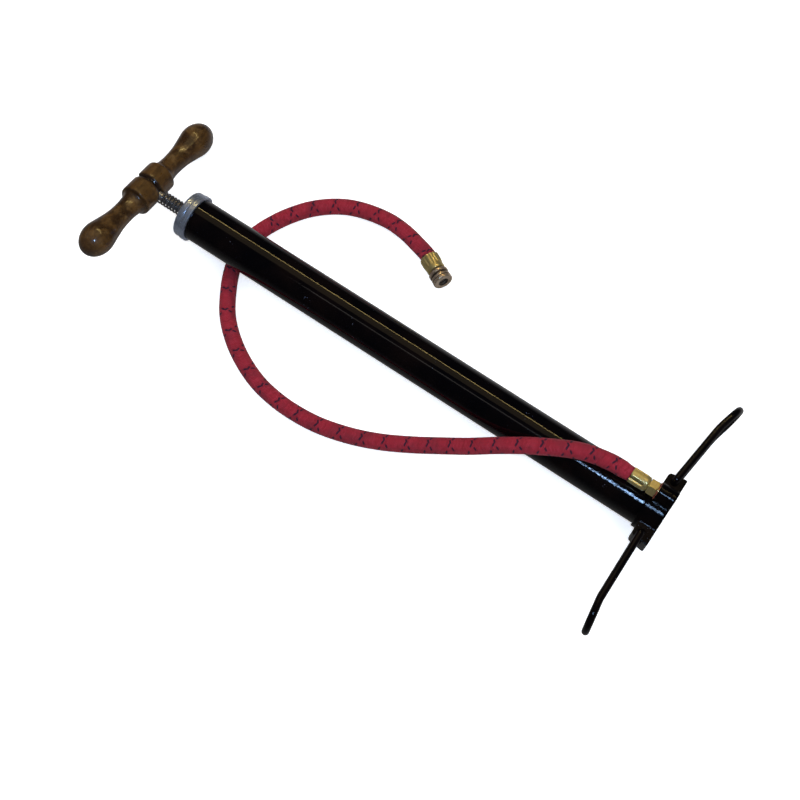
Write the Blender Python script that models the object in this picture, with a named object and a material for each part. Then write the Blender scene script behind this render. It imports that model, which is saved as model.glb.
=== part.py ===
"""A floor bike pump lying on its side, as an assembly of separate pieces. Metres, +Z up.

The pump lies with the edge of its cast base on the ground and its barrel propped on its own hose, so
its axis climbs a little from base to cap. Pieces on the barrel's axis are made in the pump's own
frame: +X up the pump from the base's bottom face, and the foot loops to either side along Y. The empty
"pump_axis" holds that frame. The empty "connector_axis" holds the same kind of frame for the free end
of the hose.
"""

import math

import bmesh
import bpy
from mathutils import Matrix, Vector

GAP = 0.0003  # clearance between pieces that touch or run in each other

# How the pump lies: the world's origin is under the middle of the object
BASE_X = -0.2675  # the base's bottom face, at the pump's axis
BASE_EDGE_RADIUS = 0.0212  # the base rolls to rest on this edge
PROP_STATION = 0.435  # how far up the barrel the hose passes under it

# Barrel, and the cap that screws onto it
BARREL_RADIUS = 0.0190
BARREL_WALL = 0.0012
BARREL_BOTTOM = 0.0086
BARREL_TOP = 0.4818
CAP_BOTTOM = 0.4738
CAP_STEP = 0.4792  # where the skirt ends and the smaller rim starts
CAP_TOP = 0.4852
CAP_SKIRT_RADIUS = 0.02165
CAP_RIM_RADIUS = 0.0211
VENT_RADIUS = 0.0011

# Cast base: a round socket, a bar with a foot lug at each end, and an outlet boss beside the barrel
BASE_HEIGHT = 0.0160
SOCKET_HEIGHT = 0.0200
SOCKET_FLOOR = 0.0070
SUMP_FLOOR = 0.0045
SUMP_RADIUS = 0.0140
LUG_HALF_THICKNESS = 0.0120
LUG_REACH_TOP = 0.0305
LUG_REACH_BOTTOM = 0.0325
FOOT_PIVOT_REACH = 0.0252
BOSS_Y = -0.0065
BOSS_Z = 0.0272
BOSS_RADIUS = 0.0085
BOSS_TOP = 0.0155
SPOT_FACE_RADIUS = 0.0082  # clears the washer where the socket's wall stands in its way
SPOT_FACE = 0.0156
BOSS_BORE_RADIUS = 0.0045
BOSS_BORE_FLOOR = 0.0025
CHANNEL_RADIUS = 0.0013
CHANNEL_STATION = 0.0040

# Foot loops, bent from round wire
WIRE_RADIUS = 0.003175
FOOT_LEG = 0.0600  # pivot to the kink
FOOT_KINK = math.radians(7.4)
FOOT_PIN_END = 0.0040
# Side along Y, pivot's station, kink to the start of the round end, lean towards the ground, toe's twist
FEET = {
    "foot_loop_left": (1, 0.0097, 0.0157, math.radians(0.8), math.radians(2.8)),
    "foot_loop_right": (-1, 0.0085, 0.0122, math.radians(6.7), 0.0),
}

# Rod, piston and handle
ROD_RADIUS = 0.0040
ROD_BOTTOM = 0.0130
ROD_TOP = 0.5400
PISTON_BOTTOM = 0.0135
HANDLE_STATION = 0.5279
HANDLE_TURN = math.radians(17.0)  # the handle has rolled until one knob almost meets the ground
HANDLE_SKEW = math.radians(1.3)  # its hole isn't quite square to it
HANDLE_HALF = 0.0896
COLLAR_RADIUS = 0.0144
KNOB_RADIUS = 0.0143
KNOB_PLACE = 0.0712
HANDLE_SINK_FLOOR = 0.0060  # the nut's recess, measured from the handle's middle
HANDLE_SINK_RADIUS = 0.0076
SPRING_MEAN_RADIUS = 0.0055
SPRING_WIRE_RADIUS = 0.0009
SPRING_TURNS = 8

# Check valve in the outlet boss
VALVE_SEAT_BOTTOM = 0.0056
VALVE_SEAT_TOP = 0.0066
VALVE_SEAT_HOLE = 0.0014
BALL_RADIUS = 0.0020
UNION_BOTTOM = 0.0128

# Outlet union and the ferrule that holds the hose on it
HEX_BOTTOM = 0.0169
HEX_TOP = 0.0244
HEX_ACROSS_FLATS = 0.0129
HEX_CORNER = math.radians(12.5)  # one of the six corners faces up and a little to the side
TAIL_RADIUS = 0.0035
OUTLET_FERRULE_RADIUS = 0.0066
OUTLET_FERRULE_TOP = 0.0408

# Hose, by hand-chosen route points on and over what it lies on
HOSE_RADIUS = 0.0072
HOSE_SPACING = 0.016
HOSE_ROUTE = [
    (-0.2072, -0.0058, 0.0503),
    (-0.1866, -0.0012, 0.0511),
    (-0.1680, 0.0070, 0.0508),
    (-0.1462, 0.0176, 0.0465),
    (-0.1245, 0.0283, 0.0374),
    (-0.1030, 0.0397, 0.0272),
    (-0.0806, 0.0507, 0.0182),
    (-0.0582, 0.0620, 0.0117),
    (-0.0349, 0.0732, 0.0082),
    (-0.0102, 0.0827, 0.0073),
    (0.0165, 0.0895, 0.0073),
    (0.0412, 0.0917, 0.0073),
    (0.0631, 0.0906, 0.0073),
    (0.0839, 0.0864, 0.0073),
    (0.1053, 0.0777, 0.0073),
    (0.1248, 0.0656, 0.0073),
    (0.1411, 0.0507, 0.0073),
    (0.1541, 0.0317, 0.0073),
    (0.1632, 0.0134, 0.0073),
    (0.1674, -0.0044, 0.0073),
    (0.1669, -0.0182, 0.0073),
    (0.1637, -0.0308, 0.0073),
    (0.1582, -0.0441, 0.0073),
    (0.1504, -0.0579, 0.0073),
    (0.1397, -0.0719, 0.0073),
    (0.1263, -0.0839, 0.0073),
    (0.1108, -0.0931, 0.0073),
    (0.0928, -0.0988, 0.0073),
    (0.0736, -0.1014, 0.0073),
    (0.0559, -0.1000, 0.0075),
    (0.0395, -0.0959, 0.0081),
]

# Free end of the hose
CONNECTOR_MOUTH = Vector((0.0239, -0.0902, 0.0094))
CONNECTOR_HEADING = math.radians(150.3)
CONNECTOR_RISE = math.radians(8.9)
END_FERRULE_RADIUS = 0.0088
END_FERRULE_LENGTH = 0.0156
NECK_RADIUS = 0.0027
FLANGE_RADIUS = 0.0040
SWIVEL_START = 0.0170
SWIVEL_BACK = 0.0190
SWIVEL_END = 0.0280
SWIVEL_RADIUS = 0.0088
SWIVEL_BORE_RADIUS = 0.0043

ROUND = 48  # sides of a large turned piece
SMALL_ROUND = 32

FINISHES = {
    "black_enamel": ((0.012, 0.012, 0.014), 0.18, 0.0),
    "plated_steel": ((0.50, 0.54, 0.60), 0.32, 1.0),
    "rod_steel": ((0.42, 0.42, 0.43), 0.28, 1.0),
    "spring_steel": ((0.13, 0.13, 0.14), 0.38, 1.0),
    "brass": ((0.66, 0.47, 0.17), 0.26, 1.0),
    "varnished_wood": ((0.20, 0.105, 0.035), 0.30, 0.0),
    "red_braid": ((0.35, 0.012, 0.03), 0.75, 0.0),
    "leather": ((0.16, 0.08, 0.035), 0.70, 0.0),
    "fibre": ((0.30, 0.07, 0.03), 0.65, 0.0),
    "black_rubber": ((0.02, 0.02, 0.022), 0.70, 0.0),
}


def clear_scene():
    for obj in list(bpy.data.objects):
        bpy.data.objects.remove(obj)


def finish(name):
    """The named Principled material, made on first use."""
    found = bpy.data.materials.get(name)
    if found:
        return found
    colour, roughness, metallic = FINISHES[name]
    made = bpy.data.materials.new(name)
    made.use_nodes = True
    shader = made.node_tree.nodes["Principled BSDF"]
    shader.inputs["Base Color"].default_value = (*colour, 1.0)
    shader.inputs["Roughness"].default_value = roughness
    shader.inputs["Metallic"].default_value = metallic
    return made


def add_object(name, data, look):
    obj = bpy.data.objects.new(name, data)
    bpy.context.scene.collection.objects.link(obj)
    data.materials.append(finish(look))
    return obj


def mesh_object(name, bm, look):
    bmesh.ops.recalc_face_normals(bm, faces=bm.faces)
    mesh = bpy.data.meshes.new(name)
    bm.to_mesh(mesh)
    bm.free()
    mesh.shade_smooth()
    mesh.set_sharp_from_angle(angle=math.radians(35))
    return add_object(name, mesh, look)


def turned(name, outline, look, sides=ROUND, first_angle=0.0):
    """A solid turned about X from (station, radius) points. An outline off the axis makes a ring."""
    bm = bmesh.new()
    rings = []
    for station, radius in outline:
        if radius == 0:
            rings.append([bm.verts.new((station, 0, 0))])
            continue
        angles = [first_angle + 2 * math.pi * k / sides for k in range(sides)]
        rings.append(
            [bm.verts.new((station, radius * math.cos(a), radius * math.sin(a))) for a in angles]
        )
    pairs = list(zip(rings, rings[1:]))
    if outline[0][1] > 0:
        pairs.append((rings[-1], rings[0]))
    for first, second in pairs:
        for k in range(sides):
            corners = []
            for ring, step in ((first, k), (first, k + 1), (second, k + 1), (second, k)):
                corner = ring[step % len(ring)]
                if corner not in corners:
                    corners.append(corner)
            bm.faces.new(corners)
    return mesh_object(name, bm, look)


def ring_outline(bottom, top, inner, outer):
    """The section of a plain ring or tube."""
    return [(bottom, inner), (bottom, outer), (top, outer), (top, inner)]


def rod_outline(bottom, top, radius):
    """The section of a plain round bar."""
    return [(bottom, 0), (bottom, radius), (top, radius), (top, 0)]


def box(name, low, high, look):
    bm = bmesh.new()
    bmesh.ops.create_cube(bm, size=1.0)
    low, high = Vector(low), Vector(high)
    bmesh.ops.scale(bm, vec=high - low, verts=bm.verts)
    bmesh.ops.translate(bm, vec=(low + high) / 2, verts=bm.verts)
    return mesh_object(name, bm, look)


def point_along(obj, place, direction):
    """Stands a piece turned about X at a place, with its X along a direction."""
    turn = Vector((1, 0, 0)).rotation_difference(Vector(direction)).to_matrix().to_4x4()
    obj.matrix_world = Matrix.Translation(place) @ turn
    return obj


def combine(obj, joined=(), cut=()):
    """Joins and cuts helper solids with exact Booleans, applies them and removes the helpers."""
    for operation, helpers in (("UNION", joined), ("DIFFERENCE", cut)):
        for helper in helpers:
            modifier = obj.modifiers.new(helper.name, "BOOLEAN")
            modifier.operation = operation
            modifier.solver = "EXACT"
            modifier.object = helper
    bpy.context.view_layer.update()
    graph = bpy.context.evaluated_depsgraph_get()
    mesh = bpy.data.meshes.new_from_object(obj.evaluated_get(graph))
    obj.modifiers.clear()
    obj.data = mesh
    for helper in (*joined, *cut):
        bpy.data.objects.remove(helper)
    mesh.shade_smooth()
    mesh.set_sharp_from_angle(angle=math.radians(35))
    return obj


def swept(name, points, radius, look, resolution=3):
    """A round wire or hose along points, with filled ends."""
    curve = bpy.data.curves.new(name, "CURVE")
    curve.dimensions = "3D"
    curve.bevel_depth = radius
    curve.bevel_resolution = resolution
    curve.use_fill_caps = True
    spline = curve.splines.new("POLY")
    spline.points.add(len(points) - 1)
    for target, point in zip(spline.points, points):
        target.co = (*point, 1.0)
    return add_object(name, curve, look)


def coil_points(bottom, top, radius, turns, per_turn=14):
    """Points of a helix about X, from one station to another."""
    count = turns * per_turn
    points = []
    for k in range(count + 1):
        angle = 2 * math.pi * k / per_turn
        station = bottom + (top - bottom) * k / count
        points.append((station, radius * math.cos(angle), radius * math.sin(angle)))
    return points


def smooth_line(points, steps=12):
    """A Catmull-Rom curve through the points, as many short chords."""
    ends = [2 * points[0] - points[1], *points, 2 * points[-1] - points[-2]]
    line = []
    for before, start, stop, after in zip(ends, ends[1:], ends[2:], ends[3:]):
        for k in range(steps):
            t = k / steps
            line.append(
                start
                + 0.5 * t * (stop - before)
                + t * t * (before - 2.5 * start + 2 * stop - 0.5 * after)
                + t * t * t * (1.5 * (start - stop) + 0.5 * (after - before))
            )
    line.append(points[-1])
    return line


def spaced(line, spacing):
    """Points at an even spacing along a line, ends included."""
    lengths = [0.0]
    for a, b in zip(line, line[1:]):
        lengths.append(lengths[-1] + (b - a).length)
    count = round(lengths[-1] / spacing)
    found, k = [], 0
    for i in range(count + 1):
        want = lengths[-1] * i / count
        while k < len(line) - 2 and lengths[k + 1] < want:
            k += 1
        share = (want - lengths[k]) / (lengths[k + 1] - lengths[k])
        found.append(line[k].lerp(line[k + 1], share))
    return found


def frame_empty(name, matrix):
    empty = bpy.data.objects.new(name, None)
    bpy.context.scene.collection.objects.link(empty)
    empty.matrix_world = matrix
    return empty


def pump_matrix():
    """The pump's frame in the world: it rests on its base's edge and, through the hose, on its barrel."""
    prop_height = 2 * HOSE_RADIUS + 0.0004 + BARREL_RADIUS
    climb = math.atan2(prop_height - BASE_EDGE_RADIUS, PROP_STATION)
    place = Matrix.Translation((BASE_X, 0, BASE_EDGE_RADIUS * math.cos(climb)))
    return place @ Matrix.Rotation(-climb, 4, "Y")


def connector_matrix():
    turn = Matrix.Rotation(CONNECTOR_HEADING, 4, "Z") @ Matrix.Rotation(-CONNECTOR_RISE, 4, "Y")
    return Matrix.Translation(CONNECTOR_MOUTH) @ turn


def make_lug_bar():
    """The bar across the base: drafted ends with a rounded upper corner."""
    corner = 0.003
    profile = [(0.0, LUG_REACH_BOTTOM)]
    for k in range(5):
        angle = math.pi / 2 * k / 4
        profile.append(
            (
                BASE_HEIGHT - corner + corner * math.sin(angle),
                LUG_REACH_TOP - corner + corner * math.cos(angle),
            )
        )
    outline = profile + [(station, -reach) for station, reach in reversed(profile)]
    bm = bmesh.new()
    face = bm.faces.new([bm.verts.new((x, y, -LUG_HALF_THICKNESS)) for x, y in outline])
    grown = bmesh.ops.extrude_face_region(bm, geom=[face])
    top = [v for v in grown["geom"] if isinstance(v, bmesh.types.BMVert)]
    bmesh.ops.translate(bm, vec=(0, 0, 2 * LUG_HALF_THICKNESS), verts=top)
    return mesh_object("lug_bar", bm, "black_enamel")


def make_base():
    socket = turned("base_casting", rod_outline(0, SOCKET_HEIGHT, BASE_EDGE_RADIUS), "black_enamel", 64)
    boss = turned("boss", rod_outline(0, BOSS_TOP, BOSS_RADIUS), "black_enamel")
    boss.location = (0, BOSS_Y, BOSS_Z)
    web_top = BASE_HEIGHT - 0.002
    web = box("web", (0, BOSS_Y - 0.006, 0.010), (web_top, BOSS_Y + 0.006, BOSS_Z), "black_enamel")
    recess = turned(
        "recess", rod_outline(SOCKET_FLOOR, 2 * SOCKET_HEIGHT, BARREL_RADIUS + GAP), "black_enamel"
    )
    sump = turned("sump", rod_outline(SUMP_FLOOR, 2 * SOCKET_FLOOR, SUMP_RADIUS), "black_enamel", SMALL_ROUND)
    bore = turned(
        "bore", rod_outline(BOSS_BORE_FLOOR, 2 * BOSS_TOP, BOSS_BORE_RADIUS), "black_enamel", SMALL_ROUND
    )
    spot_face = turned("spot_face", rod_outline(SPOT_FACE, 2 * BOSS_TOP, SPOT_FACE_RADIUS), "black_enamel")
    for cutter in (bore, spot_face):
        cutter.location = (0, BOSS_Y, BOSS_Z)
    reach = Vector((0, BOSS_Y, BOSS_Z))
    channel_outline = rod_outline(SUMP_RADIUS * 0.7, reach.length, CHANNEL_RADIUS)
    channel = turned("channel", channel_outline, "black_enamel", 16)
    point_along(channel, (CHANNEL_STATION, 0, 0), reach)
    cuts = [recess, sump, bore, spot_face, channel]
    for side, station, *_ in FEET.values():
        hole = turned("pin_hole", rod_outline(-0.02, 0.02, WIRE_RADIUS + GAP), "black_enamel", SMALL_ROUND)
        point_along(hole, (station, side * FOOT_PIVOT_REACH, 0), (0, 0, 1))
        cuts.append(hole)
    return combine(socket, joined=[make_lug_bar(), boss, web], cut=cuts)


def make_barrel():
    inner = BARREL_RADIUS - BARREL_WALL
    return turned("barrel", ring_outline(BARREL_BOTTOM, BARREL_TOP, inner, BARREL_RADIUS), "black_enamel", 64)


def make_gasket():
    outline = ring_outline(SOCKET_FLOOR + GAP, BARREL_BOTTOM - GAP, 0.0155, BARREL_RADIUS)
    return turned("barrel_gasket", outline, "leather")


def make_cap():
    """Stepped cap: a skirt round the barrel, a groove, and a smaller rim closed by the end plate."""
    inside = BARREL_RADIUS + GAP
    plate = BARREL_TOP + GAP
    edge = 0.0022
    outline = [(CAP_BOTTOM, inside), (CAP_BOTTOM, CAP_SKIRT_RADIUS - 0.0006)]
    outline += [(CAP_BOTTOM + 0.0006, CAP_SKIRT_RADIUS), (CAP_STEP - 0.0010, CAP_SKIRT_RADIUS)]
    outline += [(CAP_STEP, CAP_RIM_RADIUS - 0.0004), (CAP_STEP + 0.0010, CAP_RIM_RADIUS)]
    for k in range(5):
        angle = math.pi / 2 * k / 4
        outward = CAP_RIM_RADIUS - edge + edge * math.cos(angle)
        outline.append((CAP_TOP - edge + edge * math.sin(angle), outward))
    outline += [(CAP_TOP, 0.0063), (plate, 0.0063), (plate, inside)]
    cap = turned("top_cap", outline, "plated_steel", 64)
    vent = turned("vent", rod_outline(plate - 0.002, CAP_TOP + 0.002, VENT_RADIUS), "plated_steel", 12)
    vent.location = (0, 0.0125, 0)
    return combine(cap, cut=[vent])


def make_guide():
    """Flanged bush in the cap that guides the rod, and the leather ring that softens the upstroke."""
    bore, body, flange = ROD_RADIUS + GAP, 0.0060, 0.0090
    flange_top = BARREL_TOP
    flange_bottom = flange_top - 0.0016
    bush_bottom = 0.4785
    outline = [(CAP_TOP, bore), (CAP_TOP, body), (flange_top, body), (flange_top, flange)]
    outline += [(flange_bottom, flange), (flange_bottom, body), (bush_bottom, body), (bush_bottom, bore)]
    bush = turned("rod_guide_bush", outline, "brass", SMALL_ROUND)
    ring = ring_outline(flange_bottom - GAP - 0.0036, flange_bottom - GAP, body + GAP, 0.0130)
    return [bush, turned("upstroke_buffer", ring, "leather", SMALL_ROUND)]


def make_piston():
    """The stack at the rod's foot, from the bottom: nut, spreader, leather cup, backing plate, locknut."""
    bore = ROD_RADIUS + GAP
    hex_radius = 0.0130 / math.sqrt(3)
    station = PISTON_BOTTOM
    nut = make_nut("piston_nut", station, station + 0.005, hex_radius, bore, "rod_steel")
    station += 0.005 + GAP
    spreader_outline = ring_outline(station, station + 0.002, bore, 0.0130)
    spreader = turned("cup_spreader", spreader_outline, "rod_steel", SMALL_ROUND)
    station += 0.002 + GAP
    lip, wall, disc = 0.0075, 0.0030, 0.0030
    cup_radius = BARREL_RADIUS - BARREL_WALL - GAP
    outline = [(station, bore), (station, cup_radius - wall), (station - lip, cup_radius - wall)]
    outline += [(station - lip, cup_radius), (station + disc - 0.001, cup_radius)]
    outline += [(station + disc, cup_radius - 0.001), (station + disc, bore)]
    cup = turned("cup_leather", outline, "leather", ROUND)
    station += disc + GAP
    backing_outline = ring_outline(station, station + 0.0025, bore, 0.0165)
    backing = turned("backing_plate", backing_outline, "rod_steel", ROUND)
    station += 0.0025 + GAP
    lock = make_nut("piston_locknut", station, station + 0.004, hex_radius, bore, "rod_steel")
    return [nut, spreader, cup, backing, lock]


def make_nut(name, bottom, top, corner_radius, bore, look):
    """A hexagonal nut with a plain round bore."""
    solid = turned(name, rod_outline(bottom, top, corner_radius), look, 6)
    hole = turned("hole", rod_outline(bottom - 0.002, top + 0.002, bore), look, SMALL_ROUND)
    return combine(solid, cut=[hole])


def make_rod():
    return turned("piston_rod", rod_outline(ROD_BOTTOM, ROD_TOP, ROD_RADIUS), "rod_steel", SMALL_ROUND)


def make_buffer_spring():
    """The short spring outside the cap that the handle lands on."""
    bottom = CAP_TOP + GAP + SPRING_WIRE_RADIUS
    top = HANDLE_STATION - COLLAR_RADIUS - GAP - SPRING_WIRE_RADIUS
    points = coil_points(bottom, top, SPRING_MEAN_RADIUS, SPRING_TURNS)
    return swept("buffer_spring", points, SPRING_WIRE_RADIUS, "spring_steel", 1)


def handle_half_outline():
    """(distance from the middle, radius) of one half: groove, collar, slim neck, and a knob."""
    groove = [(0.0, 0.0127), (0.0016, 0.0136), (0.0028, 0.0143)]
    collar = [(0.0060, COLLAR_RADIUS), (0.0180, COLLAR_RADIUS), (0.0189, 0.0141), (0.0194, 0.0132)]
    shoulder = [(0.0200, 0.0118), (0.0240, 0.0103)]
    neck = [(0.0300, 0.0095), (0.0360, 0.0094), (0.0420, 0.0096), (0.0480, 0.0102)]
    swell = [(0.0540, 0.0113), (0.0600, 0.0125), (0.0650, 0.0137)]
    knob = []
    for k in range(7):
        angle = math.pi / 2 * k / 7
        knob.append(
            (KNOB_PLACE + (HANDLE_HALF - KNOB_PLACE) * math.sin(angle), KNOB_RADIUS * math.cos(angle))
        )
    return groove + collar + shoulder + neck + swell + knob + [(HANDLE_HALF, 0.0)]


def make_handle():
    half = handle_half_outline()
    outline = [(-place, radius) for place, radius in reversed(half[1:])] + half
    handle = turned("handle", outline, "varnished_wood", 32)
    across = Matrix.Rotation(math.pi / 2 + HANDLE_SKEW, 4, "Z")
    tilt = Matrix.Rotation(HANDLE_TURN, 4, "X")
    handle.data.transform(Matrix.Translation((HANDLE_STATION, 0, 0)) @ tilt @ across)
    hole_outline = rod_outline(HANDLE_STATION - 0.03, HANDLE_STATION + 0.03, ROD_RADIUS + GAP)
    hole = turned("rod_hole", hole_outline, "varnished_wood", 32)
    sink_floor = HANDLE_STATION + HANDLE_SINK_FLOOR
    sink_outline = rod_outline(sink_floor, sink_floor + 0.03, HANDLE_SINK_RADIUS)
    sink = turned("sink", sink_outline, "varnished_wood", 32)
    return combine(handle, cut=[hole, sink])


def make_handle_fixings():
    """Washer and nut sunk into the top of the handle, on the rod's threaded end."""
    bore = ROD_RADIUS + GAP
    floor = HANDLE_STATION + HANDLE_SINK_FLOOR
    washer_outline = ring_outline(floor + GAP, floor + GAP + 0.001, bore, 0.0072)
    washer = turned("handle_washer", washer_outline, "plated_steel", SMALL_ROUND)
    bottom = floor + 0.001 + 2 * GAP
    return [washer, make_nut("handle_nut", bottom, bottom + 0.0042, 0.0065, bore, "plated_steel")]


def foot_points(toe, kink, twist):
    """The loop's centre line from one pin, out along a leg, round the end and back. X runs outwards."""
    spread = LUG_HALF_THICKNESS + GAP + WIRE_RADIUS
    bend = spread - LUG_HALF_THICKNESS
    leg = [Vector((0, 0, FOOT_PIN_END)), Vector((0, 0, LUG_HALF_THICKNESS))]
    for k in range(1, 6):
        angle = math.pi / 2 * k / 5
        leg.append(Vector((bend - bend * math.cos(angle), 0, LUG_HALF_THICKNESS + bend * math.sin(angle))))
    leg += [Vector((FOOT_LEG / 2, 0, spread)), Vector((FOOT_LEG - 0.004, 0, spread))]
    end = [Vector((0.004, 0, spread))]
    for k in range(13):
        angle = math.pi * k / 12
        end.append(Vector((toe + spread * math.sin(angle), 0, spread * math.cos(angle))))
    end.append(Vector((0.004, 0, -spread)))
    turn = Matrix.Rotation(kink, 4, "Z") @ Matrix.Rotation(twist, 4, "X")
    bent = Matrix.Translation((FOOT_LEG, 0, 0)) @ turn
    other = [Vector((p.x, p.y, -p.z)) for p in reversed(leg)]
    return leg + [bent @ point for point in end] + other


def make_foot(name):
    """One wire loop on its pivot, turned out to its stop."""
    side, station, toe, lean, twist = FEET[name]
    foot = swept(name, foot_points(toe, side * FOOT_KINK, twist), WIRE_RADIUS, "black_enamel", 3)
    foot.location = (station, side * FOOT_PIVOT_REACH, 0)
    foot.rotation_euler = (0, 0, side * (math.pi / 2 + lean))
    return foot


def make_check_valve():
    """Seat, ball and spring at the foot of the outlet boss's bore."""
    seat = turned(
        "valve_seat",
        ring_outline(VALVE_SEAT_BOTTOM, VALVE_SEAT_TOP, VALVE_SEAT_HOLE, BOSS_BORE_RADIUS - GAP),
        "brass",
        SMALL_ROUND,
    )
    rise = math.sqrt(BALL_RADIUS**2 - VALVE_SEAT_HOLE**2)
    centre = VALVE_SEAT_TOP + rise + 0.0001
    angles = [math.pi * k / 10 for k in range(1, 10)]
    arc = [(-BALL_RADIUS * math.cos(angle), BALL_RADIUS * math.sin(angle)) for angle in angles]
    outline = [(-BALL_RADIUS, 0), *arc, (BALL_RADIUS, 0)]
    ball = turned("valve_ball", outline, "rod_steel", 20)
    wire, mean = 0.00025, 0.0014
    bottom = centre + math.sqrt(BALL_RADIUS**2 - mean**2) + wire + GAP
    coil = coil_points(bottom, UNION_BOTTOM - wire - GAP, mean, 3, 12)
    spring = swept("valve_spring", coil, wire, "spring_steel", 1)
    for piece in (seat, spring):
        piece.location = (0, BOSS_Y, BOSS_Z)
    ball.location = (centre, BOSS_Y, BOSS_Z)
    return [seat, ball, spring]


def make_outlet():
    """Fibre washer, the hexagon union with its spigot and hose tail, and the ferrule round the tail."""
    washer_outline = ring_outline(BOSS_TOP + GAP, HEX_BOTTOM - GAP, BOSS_BORE_RADIUS + GAP, 0.0079)
    washer = turned("fibre_washer", washer_outline, "fibre", SMALL_ROUND)
    spigot, bore = BOSS_BORE_RADIUS - GAP, 0.0011
    tail_top = OUTLET_FERRULE_TOP - 0.0008
    outline = [(UNION_BOTTOM, bore), (UNION_BOTTOM, spigot), (HEX_BOTTOM + 0.001, spigot)]
    outline += [(HEX_BOTTOM + 0.001, TAIL_RADIUS), (tail_top, TAIL_RADIUS), (tail_top, bore)]
    union = turned("outlet_union", outline, "brass", SMALL_ROUND)
    hex_body = turned(
        "hexagon",
        ring_outline(HEX_BOTTOM, HEX_TOP, 0.0025, HEX_ACROSS_FLATS / math.sqrt(3)),
        "brass",
        6,
        HEX_CORNER,
    )
    combine(union, joined=[hex_body])
    inside, end_wall = OUTLET_FERRULE_RADIUS - 0.0010, 0.0015
    start = HEX_TOP + GAP
    outline = [(start, TAIL_RADIUS + GAP), (start, OUTLET_FERRULE_RADIUS - 0.0012)]
    outline += [(start + 0.0012, OUTLET_FERRULE_RADIUS), (OUTLET_FERRULE_TOP, OUTLET_FERRULE_RADIUS)]
    outline += [(OUTLET_FERRULE_TOP, inside), (start + end_wall, inside)]
    outline.append((start + end_wall, TAIL_RADIUS + GAP))
    ferrule = turned("outlet_ferrule", outline, "brass", SMALL_ROUND)
    for piece in (washer, union, ferrule):
        piece.location = (0, BOSS_Y, BOSS_Z)
    return [washer, union, ferrule]


def make_hose(pump, connector):
    """The hose from the outlet ferrule, over the barrel, down to the ground, under the barrel and round."""
    start = pump @ Vector((OUTLET_FERRULE_TOP + GAP, BOSS_Y, BOSS_Z))
    route = [start] + [Vector(point) for point in HOSE_ROUTE] + [connector @ Vector((-GAP, 0, 0))]
    line = spaced(smooth_line(route), HOSE_SPACING)
    line.insert(1, pump @ Vector((OUTLET_FERRULE_TOP + 0.004, BOSS_Y, BOSS_Z)))
    line.insert(-1, connector @ Vector((-0.004, 0, 0)))
    return swept("hose", line, HOSE_RADIUS, "red_braid", 4)


def make_connector():
    """The fittings at the free end: ferrule, hose tail with its neck and flange, swivel nut and seal."""
    wall_start = END_FERRULE_LENGTH - 0.0016
    neck_hole = NECK_RADIUS + GAP
    inside = END_FERRULE_RADIUS - 0.0014
    outline = [(0, inside), (0, END_FERRULE_RADIUS), (wall_start - 0.0002, END_FERRULE_RADIUS)]
    outline += [(END_FERRULE_LENGTH, END_FERRULE_RADIUS - 0.0020), (END_FERRULE_LENGTH, neck_hole)]
    outline += [(wall_start, neck_hole), (wall_start, inside)]
    ferrule = turned("end_ferrule", outline, "brass", ROUND)
    bore = 0.0012
    flange_start = SWIVEL_BACK + GAP
    flange_end = flange_start + 0.0012
    shoulder = wall_start - GAP
    outline = [(0.0006, bore), (0.0006, TAIL_RADIUS), (shoulder, TAIL_RADIUS), (shoulder, NECK_RADIUS)]
    outline += [(flange_start, NECK_RADIUS), (flange_start, FLANGE_RADIUS)]
    outline += [(flange_end, FLANGE_RADIUS), (flange_end, bore)]
    tail = turned("end_tail", outline, "brass", SMALL_ROUND)
    groove_start, groove_end, groove_depth = 0.0204, 0.0218, 0.0014
    lip = 0.0008
    outline = [(SWIVEL_START, neck_hole), (SWIVEL_START, SWIVEL_RADIUS - lip)]
    outline.append((SWIVEL_START + lip, SWIVEL_RADIUS))
    outline += [(groove_start, SWIVEL_RADIUS), (groove_start + 0.0004, SWIVEL_RADIUS - groove_depth)]
    outline += [(groove_end - 0.0004, SWIVEL_RADIUS - groove_depth), (groove_end, SWIVEL_RADIUS)]
    outline += [(SWIVEL_END - lip, SWIVEL_RADIUS), (SWIVEL_END, SWIVEL_RADIUS - lip)]
    outline += [(SWIVEL_END, SWIVEL_BORE_RADIUS + 0.0007), (SWIVEL_END - 0.0007, SWIVEL_BORE_RADIUS)]
    outline += [(SWIVEL_BACK, SWIVEL_BORE_RADIUS), (SWIVEL_BACK, neck_hole)]
    swivel = turned("swivel_nut", outline, "brass", ROUND)
    seal_start = flange_end + GAP
    seal_outline = ring_outline(seal_start, seal_start + 0.0018, bore, FLANGE_RADIUS)
    seal = turned("nozzle_seal", seal_outline, "black_rubber", 32)
    return [ferrule, tail, swivel, seal]


def main():
    clear_scene()
    pump, connector = pump_matrix(), connector_matrix()
    pump_axis = frame_empty("pump_axis", pump)
    connector_axis = frame_empty("connector_axis", connector)
    on_pump = [make_base(), make_barrel(), make_gasket(), make_cap(), *make_guide()]
    on_pump += [*make_piston(), make_rod(), make_buffer_spring()]
    on_pump += [make_handle(), *make_handle_fixings()]
    on_pump += [make_foot(name) for name in FEET]
    on_pump += [*make_check_valve(), *make_outlet()]
    for piece in on_pump:
        piece.parent = pump_axis
    for piece in make_connector():
        piece.parent = connector_axis
    make_hose(pump, connector)


main()
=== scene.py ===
"""The looks of a floor bike pump that lies on its side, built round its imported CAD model. Metres, +Z up.

Pieces on the barrel's axis are made in the pump's own frame: +X up the pump from the base's bottom face.
The fittings at the free end of the hose are made in the connector's frame, +X out of the nozzle.
Both frames, and the hose's route, are those of the CAD.
"""

import math

import bmesh
import bpy
import numpy as np
from mathutils import Matrix, Vector


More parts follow.
